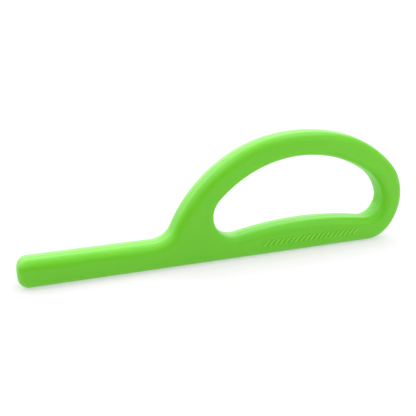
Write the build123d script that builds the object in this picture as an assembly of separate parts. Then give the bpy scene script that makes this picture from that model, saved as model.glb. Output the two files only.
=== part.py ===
from build123d import *
import os
from math import cos, radians, sin

# One-piece loop-handled chew tool, moulded in soft rubber. A straight spine runs the whole length:
# its free half is the square bite stem, and its other half carries a D-shaped finger loop.
# Frame: X along the spine with the stem tip at -X, Y across the thickness, Z up from the base strip.
# The origin is on the base plane, at the middle of the length and of the thickness. Millimetres.

# Section
BAR_HEIGHT = 15.0          # height of the bite stem
THICKNESS = 16.0           # front face to back face, the same all over
EDGE_RADIUS = 5.0          # rounding of every long edge, front and back
TIP_RADIUS = 5.75          # rounding of the stem's free end, seen from the side

# Outside, seen from the front, as tangent arcs: (radius, turn in degrees), counter-clockwise
BASE_LENGTH = 201.5        # straight base, from the tip to where the heel starts
HEEL = (18.5, 50.0)
LOOP_END = (29.5, 84.0)
SHOULDER = (73.0, 35.0)
CROWN = (102.5, 19.0)
THROAT_RADIUS = 12.0       # hollow corner between the stem and the loop
BACK_LEAN = 65.5           # slope at which the loop rises out of the throat, in degrees

# Finger opening, counter-clockwise from the low end of the palm swell
PALM_START = (118.75, 13.5)
PALM_SLOPE = 11.5          # slope at which the palm swell starts to rise, in degrees
PALM_SWELL = (212.0, -21.5)    # turns the other way, so it bulges up into the opening
PALM_CORNER = (10.25, 118.0)
OPENING_END = (27.25, 38.0)
OPENING_CROWN = (77.5, 34.0)
OPENING_BACK = (68.25, 45.0)
NECK_CORNER_RADIUS = 12.75

# Row of slanted, raised grip ribs along the bar under the opening, the same on both faces
RIB_COUNT = 19
RIB_PITCH = 3.2
RIB_WIDTH = 1.1
RIB_LENGTH = 4.4
RIB_SLANT = 45.0           # rise of each rib towards the loop's end, in degrees
RIB_RELIEF = 0.5           # how far a rib stands out of the face
RIB_ROOT = 1.0             # how far a rib reaches into the bar
RIB_ROW_CENTRE = (161.5, 8.2)


def heading(degrees):
    """Unit vector at this angle above level, in the outline's plane."""
    return Vector(cos(radians(degrees)), sin(radians(degrees)))


def arc_chain(start, slope, arcs):
    """Tangent arcs one after another: the edges, and the slope where they end."""
    edges = []
    point = Vector(*start)
    for radius, turn in arcs:
        arc = JernArc(start=point, tangent=heading(slope), radius=radius, arc_size=turn)
        edges.append(arc.edge())
        point = arc @ 1
        slope += turn
    return edges, slope


def crossing(point_a, slope_a, point_b, slope_b):
    """Where the line through point_a at slope_a meets the line through point_b at slope_b."""
    line_a, line_b = heading(slope_a), heading(slope_b)
    gap = point_b - point_a
    along = (gap.X * line_b.Y - gap.Y * line_b.X) / (line_a.X * line_b.Y - line_a.Y * line_b.X)
    return point_a + line_a * along


def outer_outline():
    """Closed outline of the moulding. The back of the loop joins the crown to the throat."""
    start = (BASE_LENGTH, 0.0)
    edges, slope = arc_chain(start, 0.0, [HEEL, LOOP_END, SHOULDER, CROWN])
    crown_end = edges[-1] @ 1
    end_slope = 180.0 + BACK_LEAN
    throat_top = BAR_HEIGHT + THROAT_RADIUS * (1.0 - cos(radians(BACK_LEAN)))
    drop_per_radius = cos(radians(slope)) - cos(radians(end_slope))
    back = ((throat_top - crown_end.Y) / drop_per_radius, end_slope - slope)
    throat = (THROAT_RADIUS, -BACK_LEAN)
    more, _ = arc_chain((crown_end.X, crown_end.Y), slope, [back, throat])
    stem_start = more[-1] @ 1
    tip = [(0.0, BAR_HEIGHT), (0.0, 0.0)]
    stem = FilletPolyline(stem_start, *tip, start, radius=TIP_RADIUS)
    return Wire([*edges, *more, *stem.edges()])


def opening_outline():
    """Closed outline of the finger opening. The neck corner closes it."""
    arcs = [PALM_SWELL, PALM_CORNER, OPENING_END, OPENING_CROWN, OPENING_BACK]
    edges, slope = arc_chain(PALM_START, PALM_SLOPE, arcs)
    start, end = Vector(*PALM_START), edges[-1] @ 1
    corner = crossing(end, slope, start, PALM_SLOPE)
    neck = FilletPolyline(end, corner, start, radius=NECK_CORNER_RADIUS)
    return Wire([*edges, *neck.edges()])


def rounded_bar():
    """The outline less the opening, at full thickness, with its long edges rounded."""
    face = Face(outer_outline(), [opening_outline()])
    slab = extrude(Plane.XZ * face, amount=THICKNESS / 2, both=True)
    rims = slab.edges().filter_by_position(Axis.Y, THICKNESS / 2, THICKNESS / 2)
    rims += slab.edges().filter_by_position(Axis.Y, -THICKNESS / 2, -THICKNESS / 2)
    return fillet(rims, radius=EDGE_RADIUS)


def grip_ribs():
    """One row of round-ended ribs on each face, rooted in the bar."""
    ribs = []
    middle = (RIB_COUNT - 1) / 2
    for side in (-1, 1):
        face_y = side * (THICKNESS / 2 + RIB_RELIEF)
        depth = RIB_RELIEF + RIB_ROOT
        for index in range(RIB_COUNT):
            x = RIB_ROW_CENTRE[0] + (index - middle) * RIB_PITCH
            outline = Rot(0, 0, -side * RIB_SLANT) * SlotOverall(RIB_LENGTH, RIB_WIDTH)
            place = Plane((x, face_y, RIB_ROW_CENTRE[1]), x_dir=(1, 0, 0), z_dir=(0, side, 0))
            ribs.append(extrude(place * outline, amount=-depth))
    return ribs


def chew_body():
    """The whole moulding, with the origin moved to the middle of its length."""
    body = rounded_bar() + grip_ribs()
    middle = body.bounding_box().center().X
    return Pos(-middle, 0, 0) * body


def main():
    os.makedirs("parts", exist_ok=True)
    body = chew_body()
    size = body.bounding_box().size
    print(f"chew_body {size.X:.2f} x {size.Y:.2f} x {size.Z:.2f} mm, {body.volume / 1000:.1f} ml")
    export_step(body, "parts/chew_body.step")


main()
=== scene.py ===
from math import cos, degrees, pi, radians, sin, tan

import bmesh
import bpy
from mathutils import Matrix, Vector
from mathutils.geometry import delaunay_2d_cdt


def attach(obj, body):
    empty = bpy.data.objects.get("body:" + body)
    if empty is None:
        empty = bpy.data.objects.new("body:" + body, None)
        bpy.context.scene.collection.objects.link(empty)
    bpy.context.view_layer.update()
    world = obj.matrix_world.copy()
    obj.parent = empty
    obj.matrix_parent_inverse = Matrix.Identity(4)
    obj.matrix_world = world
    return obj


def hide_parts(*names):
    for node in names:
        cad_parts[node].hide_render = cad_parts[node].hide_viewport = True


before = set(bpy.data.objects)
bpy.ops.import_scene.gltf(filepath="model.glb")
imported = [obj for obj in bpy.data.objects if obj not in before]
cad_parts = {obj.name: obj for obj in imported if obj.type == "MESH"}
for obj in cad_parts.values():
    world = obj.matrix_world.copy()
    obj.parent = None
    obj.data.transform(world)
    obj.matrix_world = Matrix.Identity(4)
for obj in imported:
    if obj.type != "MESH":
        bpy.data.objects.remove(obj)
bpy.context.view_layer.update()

MM = 0.001

# The moulding in millimetres, with the same sizes as the CAD part; arcs are (radius, turn in degrees)
BAR_HEIGHT = 15.0
THICKNESS = 16.0
EDGE_RADIUS = 5.0
TIP_RADIUS = 5.75
BASE_LENGTH = 201.5
HEEL = (18.5, 50.0)
LOOP_END = (29.5, 84.0)
SHOULDER = (73.0, 35.0)
CROWN = (102.5, 19.0)
THROAT_RADIUS = 12.0
BACK_LEAN = 65.5
PALM_START = (118.75, 13.5)
PALM_SLOPE = 11.5
PALM_SWELL = (212.0, -21.5)
PALM_CORNER = (10.25, 118.0)
OPENING_END = (27.25, 38.0)
OPENING_CROWN = (77.5, 34.0)
OPENING_BACK = (68.25, 45.0)
NECK_CORNER_RADIUS = 12.75
RIB_COUNT = 19
RIB_PITCH = 3.2
RIB_WIDTH = 1.1
RIB_LENGTH = 4.4
RIB_SLANT = 45.0         # rise of each rib, in degrees, the same way on both faces
RIB_RELIEF = 0.5
RIB_ROW_CENTRE = (161.5, 8.2)

# What the mould leaves on the surface
DRAFT = 2.0              # degrees that the walls lean in, away from the parting line
PARTING_HEIGHT = 0.08    # ridge along the parting line, at mid-thickness
PARTING_WIDTH = 0.7
RIB_SECTION = (          # from a soft root to a rounded top: growth of the outline, share of the relief
    (0.12, 0.0), (0.04, 0.08), (0.0, 0.25), (-0.02, 0.55), (-0.08, 0.8), (-0.2, 0.95), (-0.32, 1.0),
)

# How finely the skin is meshed
STEP = 0.8               # spacing of the points along the outline
MAX_TURN = 4.0           # about the most that the outline turns between two points, in degrees
ARC_STEPS = 4            # fewest steps along an arc
RIDGE_FOOT = 0.6         # Y of the ring on the wall just past the parting ridge
ROUND_STEPS = 14         # steps over each rounded long edge
FLAT_LIP = 0.25          # ring just inside the flat faces, which keeps their shading flat
RIB_POINTS = 24          # points round each rib
SAME_POINT = 1e-6        # points of a flat face closer than this are one
WITH_HOLES = 2           # the triangulation's mode that leaves holes open

# The rubber; a noise is (scale, detail), and its fine sizes are in metres
GREENS = ((0.152, 0.612, 0.0076), (0.164, 0.648, 0.0092))
GREEN_CLOUDS = (45.0, 3.0)
ROUGHNESS = (0.30, 0.40)
GLOSS_CLOUDS = (420.0, 4.0)
GRAIN = (1600.0, 3.0)
GRAIN_STRENGTH = 0.25
GRAIN_HEIGHT = 0.00003
RUBBER_IOR = 1.46
SUBSURFACE = 0.6
SUBSURFACE_RADIUS = (0.5, 1.0, 0.2)
SUBSURFACE_SCALE = 0.0009
RIB_PAINTED_LIGHT = (            # painted shade at the ribs' roots, then painted highlight on their crests: where the change starts and ends, as shares of the ribs' height, and the colour
    (0.02, 0.15, (0.105, 0.45, 0.005)),
    (0.55, 0.85, (0.225, 0.74, 0.020)),
)

# Camera and light
AZIMUTH = -19.83         # the camera stands in front, towards the stem's end
ELEVATION = 18.33
AIM = Vector((-10.23, 0.15, 29.88)) * MM
DISTANCE = 312.1 * MM
LENS = 50.0
FLOOR_SIZE = 60.0
FLOOR_COLOUR = (0.44, 0.415, 0.44)   # a little short of green, to offset the light off the object
FLOOR_ROUGHNESS = 0.9
FLOOR_GLOW = 0.50                    # the floor is a backlit table
GLOW_COLOUR = (1.0, 0.98, 1.0)
SKY = (                  # elevation, reach, then brightness towards +X, +Y, -X and -Y
    (65.0, 25.0, (4.4, 1.65, 3.25, 0.55)),
    (40.0, 25.0, (0.6, 1.6, 1.85, 0.0)),
    (15.0, 25.0, (0.6, 3.1, 0.2, 0.4)),
)
BACKGROUND = 1.1         # brightness of the plain white that the camera sees beyond the floor
INSIDE_ONE = 0.99999     # keeps a cosine inside the arc-cosine's range
SOFTBOX_SIZE = 0.2
SOFTBOXES = (            # position, aim and watts: one at the loop's end, one in front of the loop
    ((0.30, -0.30, 0.22), (0.09, 0.0, 0.03), 0.245),
    ((0.05, -0.35, 0.30), (0.03, 0.0, 0.03), 0.105),
)


def walk(start, slope, moves):
    """Points and headings along tangent moves: (radius, turn) for an arc, (None, length) for a line."""
    points, headings = [], []
    x, z = start
    h = radians(slope)
    for radius, amount in moves:
        if radius is None:
            count = max(1, round(amount / STEP))
            for k in range(count):
                along = amount * k / count
                points.append((x + cos(h) * along, z + sin(h) * along))
                headings.append(h)
            x, z = x + cos(h) * amount, z + sin(h) * amount
            continue
        turn = radians(amount)
        r = radius if turn > 0 else -radius
        cx, cz = x - sin(h) * r, z + cos(h) * r
        count = max(ARC_STEPS, round(radius * abs(turn) / STEP), round(abs(amount) / MAX_TURN))
        for k in range(count):
            a = h + turn * k / count
            points.append((cx + sin(a) * r, cz - cos(a) * r))
            headings.append(a)
        h += turn
        x, z = cx + sin(h) * r, cz - cos(h) * r
    return points, headings, (x, z), h


def outer_outline():
    """Outside of the moulding, counter-clockwise from the tip's lower corner, with its headings."""
    loop = [HEEL, LOOP_END, SHOULDER, CROWN]
    _, _, crown_end, h = walk((BASE_LENGTH, 0.0), 0.0, loop)
    end_slope = radians(180.0 + BACK_LEAN)
    throat_top = BAR_HEIGHT + THROAT_RADIUS * (1.0 - cos(radians(BACK_LEAN)))
    radius = (throat_top - crown_end[1]) / (cos(h) - cos(end_slope))
    loop += [(radius, degrees(end_slope - h)), (THROAT_RADIUS, -BACK_LEAN)]
    _, _, stem_start, _ = walk((BASE_LENGTH, 0.0), 0.0, loop)
    corner = (TIP_RADIUS, 90.0)
    stem = [(None, stem_start[0] - TIP_RADIUS), corner, (None, BAR_HEIGHT - 2 * TIP_RADIUS), corner]
    moves = [(None, BASE_LENGTH - TIP_RADIUS), *loop, *stem]
    points, headings, _, _ = walk((TIP_RADIUS, 0.0), 0.0, moves)
    return points, headings


def opening_outline():
    """Edge of the finger opening, counter-clockwise from the low end of the palm swell."""
    arcs = [PALM_SWELL, PALM_CORNER, OPENING_END, OPENING_CROWN, OPENING_BACK]
    _, _, (x, z), h = walk(PALM_START, PALM_SLOPE, arcs)
    slope = radians(PALM_SLOPE)
    gap_x, gap_z = PALM_START[0] - x, PALM_START[1] - z
    cross = cos(h) * sin(slope) - sin(h) * cos(slope)
    down = (gap_x * sin(slope) - gap_z * cos(slope)) / cross
    up = (gap_z * cos(h) - gap_x * sin(h)) / cross
    turn = 2 * pi + slope - h
    trim = NECK_CORNER_RADIUS * tan(turn / 2)
    corner = (NECK_CORNER_RADIUS, degrees(turn))
    moves = [*arcs, (None, down - trim), corner, (None, up - trim)]
    points, headings, _, _ = walk(PALM_START, PALM_SLOPE, moves)
    return points, headings


def wall_profile():
    """Section of a wall, from beside its middle ring to the flat face: (depth into the material, Y)."""
    wall = THICKNESS / 2 - EDGE_RADIUS
    lean = tan(radians(DRAFT))
    start = radians(DRAFT)
    profile = [(0.0, PARTING_WIDTH / 4), (PARTING_HEIGHT, PARTING_WIDTH / 2)]
    profile += [(PARTING_HEIGHT + y * lean, y) for y in (RIDGE_FOOT, wall / 2)]
    foot = PARTING_HEIGHT + wall * lean
    for k in range(ROUND_STEPS + 1):
        a = start + (pi / 2 - start) * k / ROUND_STEPS
        inward = (cos(start) - cos(a)) / cos(start)
        upward = (sin(a) - sin(start)) / (1.0 - sin(start))
        profile.append((foot + (EDGE_RADIUS - foot) * inward, wall + EDGE_RADIUS * upward))
    profile.append((EDGE_RADIUS + FLAT_LIP, THICKNESS / 2))
    return profile


def rib_outline(x, radius):
    """Outline of the rib that is centred at x on the row, with ends of this radius."""
    straight = (RIB_LENGTH - RIB_WIDTH) / 2
    slant = radians(RIB_SLANT)
    points = []
    for k in range(RIB_POINTS):
        a = 2 * pi * (k + 0.5) / RIB_POINTS
        along = cos(a) * radius + (straight if cos(a) > 0 else -straight)
        across = sin(a) * radius
        points.append((x + along * cos(slant) - across * sin(slant),
                       RIB_ROW_CENTRE[1] + along * sin(slant) + across * cos(slant)))
    return points


class Skin:
    """Mesh of the moulding, built ring by ring."""

    def __init__(self, length):
        self.bm = bmesh.new()
        self.middle = length / 2

    def ring(self, points, y):
        return [self.bm.verts.new(((x - self.middle) * MM, y * MM, z * MM)) for x, z in points]

    def join(self, rings):
        """Faces between each ring and the next."""
        for ring, other in zip(rings, rings[1:]):
            count = len(ring)
            for k in range(count):
                n = (k + 1) % count
                self.bm.faces.new((ring[k], ring[n], other[n], other[k]))

    def wall(self, points, headings, side):
        """Wall along an outline, with the material on its left for side 1; returns each face's ring."""
        middle = self.ring(points, 0.0)
        ends = {}
        for face in (1, -1):
            rings = [middle]
            for depth, y in wall_profile():
                moved = [(x - sin(h) * depth * side, z + cos(h) * depth * side)
                         for (x, z), h in zip(points, headings)]
                rings.append(self.ring(moved, face * y))
            self.join(rings)
            ends[face] = rings[-1]
        return ends

    def rib(self, x, face):
        """One raised rib; returns the ring where its root meets the flat face."""
        rings = []
        for growth, rise in RIB_SECTION:
            y = THICKNESS / 2 + RIB_RELIEF * rise
            rings.append(self.ring(rib_outline(x, RIB_WIDTH / 2 + growth), face * y))
        self.join(rings)
        self.bm.faces.new(rings[-1])
        return rings[0]

    def flat(self, rings):
        """Fills the flat face between the outside ring, the opening's ring and the ribs' root rings."""
        verts, loops = [], []
        for ring in rings:
            loops.append(list(range(len(verts), len(verts) + len(ring))))
            verts += ring
        plan = [Vector((v.co.x, v.co.z)) / MM for v in verts]
        _, _, faces, sources, _, _ = delaunay_2d_cdt(plan, [], loops, WITH_HOLES, SAME_POINT)
        for face in faces:
            self.bm.faces.new([verts[sources[i][0]] for i in face])

    def finish(self, name):
        bmesh.ops.recalc_face_normals(self.bm, faces=self.bm.faces)
        for face in self.bm.faces:
            face.smooth = True
        mesh = bpy.data.meshes.new(name)
        self.bm.to_mesh(mesh)
        self.bm.free()
        piece = bpy.data.objects.new(name, mesh)
        bpy.context.collection.objects.link(piece)
        return piece


def chew_skin():
    outer, outer_headings = outer_outline()
    opening, opening_headings = opening_outline()
    skin = Skin(max(x for x, _ in outer))
    outside = skin.wall(outer, outer_headings, 1)
    inside = skin.wall(opening, opening_headings, -1)
    for face in (1, -1):
        rings = [outside[face], inside[face]]
        for k in range(RIB_COUNT):
            x = RIB_ROW_CENTRE[0] + (k - (RIB_COUNT - 1) / 2) * RIB_PITCH
            rings.append(skin.rib(x, face))
        skin.flat(rings)
    return skin.finish("chew_body_skin")


def node(tree, kind, **settings):
    n = tree.nodes.new(kind)
    for key, value in settings.items():
        setattr(n, key, value)
    return n


def noise(tree, coords, scale, detail):
    n = node(tree, "ShaderNodeTexNoise")
    n.inputs["Scale"].default_value = scale
    n.inputs["Detail"].default_value = detail
    tree.links.new(coords, n.inputs["Vector"])
    return n.outputs["Fac"]


def blend(tree, share, colour, other):
    """Mix of a colour, or a socket that carries one, with another colour."""
    mix = node(tree, "ShaderNodeMix", data_type="RGBA")
    factor, colour_a, colour_b, result = mix.inputs[0], mix.inputs[6], mix.inputs[7], mix.outputs[2]
    tree.links.new(share, factor)
    if isinstance(colour, tuple):
        colour_a.default_value = (*colour, 1.0)
    else:
        tree.links.new(colour, colour_a)
    colour_b.default_value = (*other, 1.0)
    return result


def maths(tree, operation, *values):
    n = node(tree, "ShaderNodeMath", operation=operation)
    for socket, value in zip(n.inputs, values):
        if isinstance(value, float):
            socket.default_value = value
        else:
            tree.links.new(value, socket)
    return n.outputs[0]


def tent(tree, value, peak, reach):
    """1 at the peak, falling evenly to 0 at this reach on both sides of it."""
    off = maths(tree, "ABSOLUTE", maths(tree, "SUBTRACT", value, peak))
    return maths(tree, "MAXIMUM", maths(tree, "SUBTRACT", 1.0, maths(tree, "DIVIDE", off, reach)), 0.0)


def green_rubber():
    """Soft elastomer: light passes a little way in, and the satin skin has a faint moulded grain."""
    m = bpy.data.materials.new("green_rubber")
    m.use_nodes = True
    tree = m.node_tree
    b = tree.nodes["Principled BSDF"]
    coords = node(tree, "ShaderNodeTexCoord").outputs["Object"]
    b.inputs["IOR"].default_value = RUBBER_IOR
    b.inputs["Subsurface Weight"].default_value = SUBSURFACE
    b.inputs["Subsurface Radius"].default_value = SUBSURFACE_RADIUS
    b.inputs["Subsurface Scale"].default_value = SUBSURFACE_SCALE

    # The green clouds a little, and the ribs get painted shade, darker, at their roots and a painted
    # highlight, paler, on their crests
    colour = blend(tree, noise(tree, coords, *GREEN_CLOUDS), *GREENS)
    sides = node(tree, "ShaderNodeSeparateXYZ")
    tree.links.new(coords, sides.inputs[0])
    out = maths(tree, "ABSOLUTE", sides.outputs["Y"])
    # painted shade at the rib roots, then a painted highlight on the rib crests, by height above the flat
    # face
    for low, high, painted_light_colour in RIB_PAINTED_LIGHT:
        reach = node(tree, "ShaderNodeMapRange")
        reach.inputs["From Min"].default_value = (THICKNESS / 2 + low * RIB_RELIEF) * MM
        reach.inputs["From Max"].default_value = (THICKNESS / 2 + high * RIB_RELIEF) * MM
        tree.links.new(out, reach.inputs["Value"])
        colour = blend(tree, reach.outputs["Result"], colour, painted_light_colour)
    tree.links.new(colour, b.inputs["Base Color"])

    satin = node(tree, "ShaderNodeMapRange")
    satin.inputs["To Min"].default_value, satin.inputs["To Max"].default_value = ROUGHNESS
    tree.links.new(noise(tree, coords, *GLOSS_CLOUDS), satin.inputs["Value"])
    tree.links.new(satin.outputs["Result"], b.inputs["Roughness"])

    bump = node(tree, "ShaderNodeBump")
    bump.inputs["Strength"].default_value = GRAIN_STRENGTH
    bump.inputs["Distance"].default_value = GRAIN_HEIGHT
    tree.links.new(noise(tree, coords, *GRAIN), bump.inputs["Height"])
    tree.links.new(bump.outputs["Normal"], b.inputs["Normal"])
    return m


def floor():
    bpy.ops.mesh.primitive_plane_add(size=FLOOR_SIZE)
    f = bpy.context.object
    f.name = "floor"
    m = bpy.data.materials.new("floor")
    m.use_nodes = True
    b = m.node_tree.nodes["Principled BSDF"]
    b.inputs["Base Color"].default_value = (*FLOOR_COLOUR, 1.0)
    b.inputs["Roughness"].default_value = FLOOR_ROUGHNESS
    b.inputs["Specular IOR Level"].default_value = 0.0
    b.inputs["Emission Color"].default_value = (*GLOW_COLOUR, 1.0)
    b.inputs["Emission Strength"].default_value = FLOOR_GLOW
    f.data.materials.append(m)


def sky():
    """A soft studio all round: brightness by elevation and by compass direction. The camera sees white."""
    w = bpy.data.worlds.new("studio")
    bpy.context.scene.world = w
    w.use_nodes = True
    tree = w.node_tree
    direction = node(tree, "ShaderNodeSeparateXYZ")
    tree.links.new(node(tree, "ShaderNodeTexCoord").outputs["Generated"], direction.inputs[0])
    x, y, z = direction.outputs
    elevation = maths(tree, "ARCSINE", z)
    bearing = maths(tree, "ARCTAN2", y, x)
    quarters = []
    for k in range(4):
        near = maths(tree, "COSINE", maths(tree, "SUBTRACT", bearing, k * pi / 2))
        off = maths(tree, "ARCCOSINE", maths(tree, "MULTIPLY", near, INSIDE_ONE))
        quarters.append(tent(tree, off, 0.0, pi / 2))
    light = 0.0
    for peak, reach, levels in SKY:
        around = maths(tree, "MULTIPLY", quarters[0], levels[0])
        for quarter, level in zip(quarters[1:], levels[1:]):
            around = maths(tree, "MULTIPLY_ADD", quarter, level, around)
        band = tent(tree, elevation, radians(peak), radians(reach))
        light = maths(tree, "MULTIPLY_ADD", band, around, light)
    seen = node(tree, "ShaderNodeLightPath").outputs["Is Camera Ray"]
    unseen = maths(tree, "MULTIPLY", light, maths(tree, "SUBTRACT", 1.0, seen))
    strength = maths(tree, "MULTIPLY_ADD", seen, BACKGROUND, unseen)
    background = tree.nodes["Background"]
    background.inputs["Color"].default_value = (1.0, 1.0, 1.0, 1.0)
    tree.links.new(strength, background.inputs["Strength"])


def softboxes():
    for place, aim, watts in SOFTBOXES:
        box = bpy.data.lights.new("softbox", "AREA")
        box.size = SOFTBOX_SIZE
        box.energy = watts
        o = bpy.data.objects.new("softbox", box)
        bpy.context.collection.objects.link(o)
        o.location = place
        o.rotation_mode = "QUATERNION"
        o.rotation_quaternion = (Vector(aim) - Vector(place)).to_track_quat("-Z", "Y")


def camera():
    a, e = radians(AZIMUTH), radians(ELEVATION)
    back = Vector((sin(a) * cos(e), -cos(a) * cos(e), sin(e)))
    c = bpy.data.cameras.new("camera")
    c.lens = LENS
    o = bpy.data.objects.new("camera", c)
    bpy.context.collection.objects.link(o)
    o.location = AIM + back * DISTANCE
    o.rotation_mode = "QUATERNION"
    o.rotation_quaternion = (-back).to_track_quat("-Z", "Y")
    bpy.context.scene.camera = o


skin = chew_skin()
skin.data.materials.append(green_rubber())
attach(skin, "root")
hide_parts("chew_body")
floor()
sky()
softboxes()
camera()
bpy.context.scene.view_settings.view_transform = "Standard"
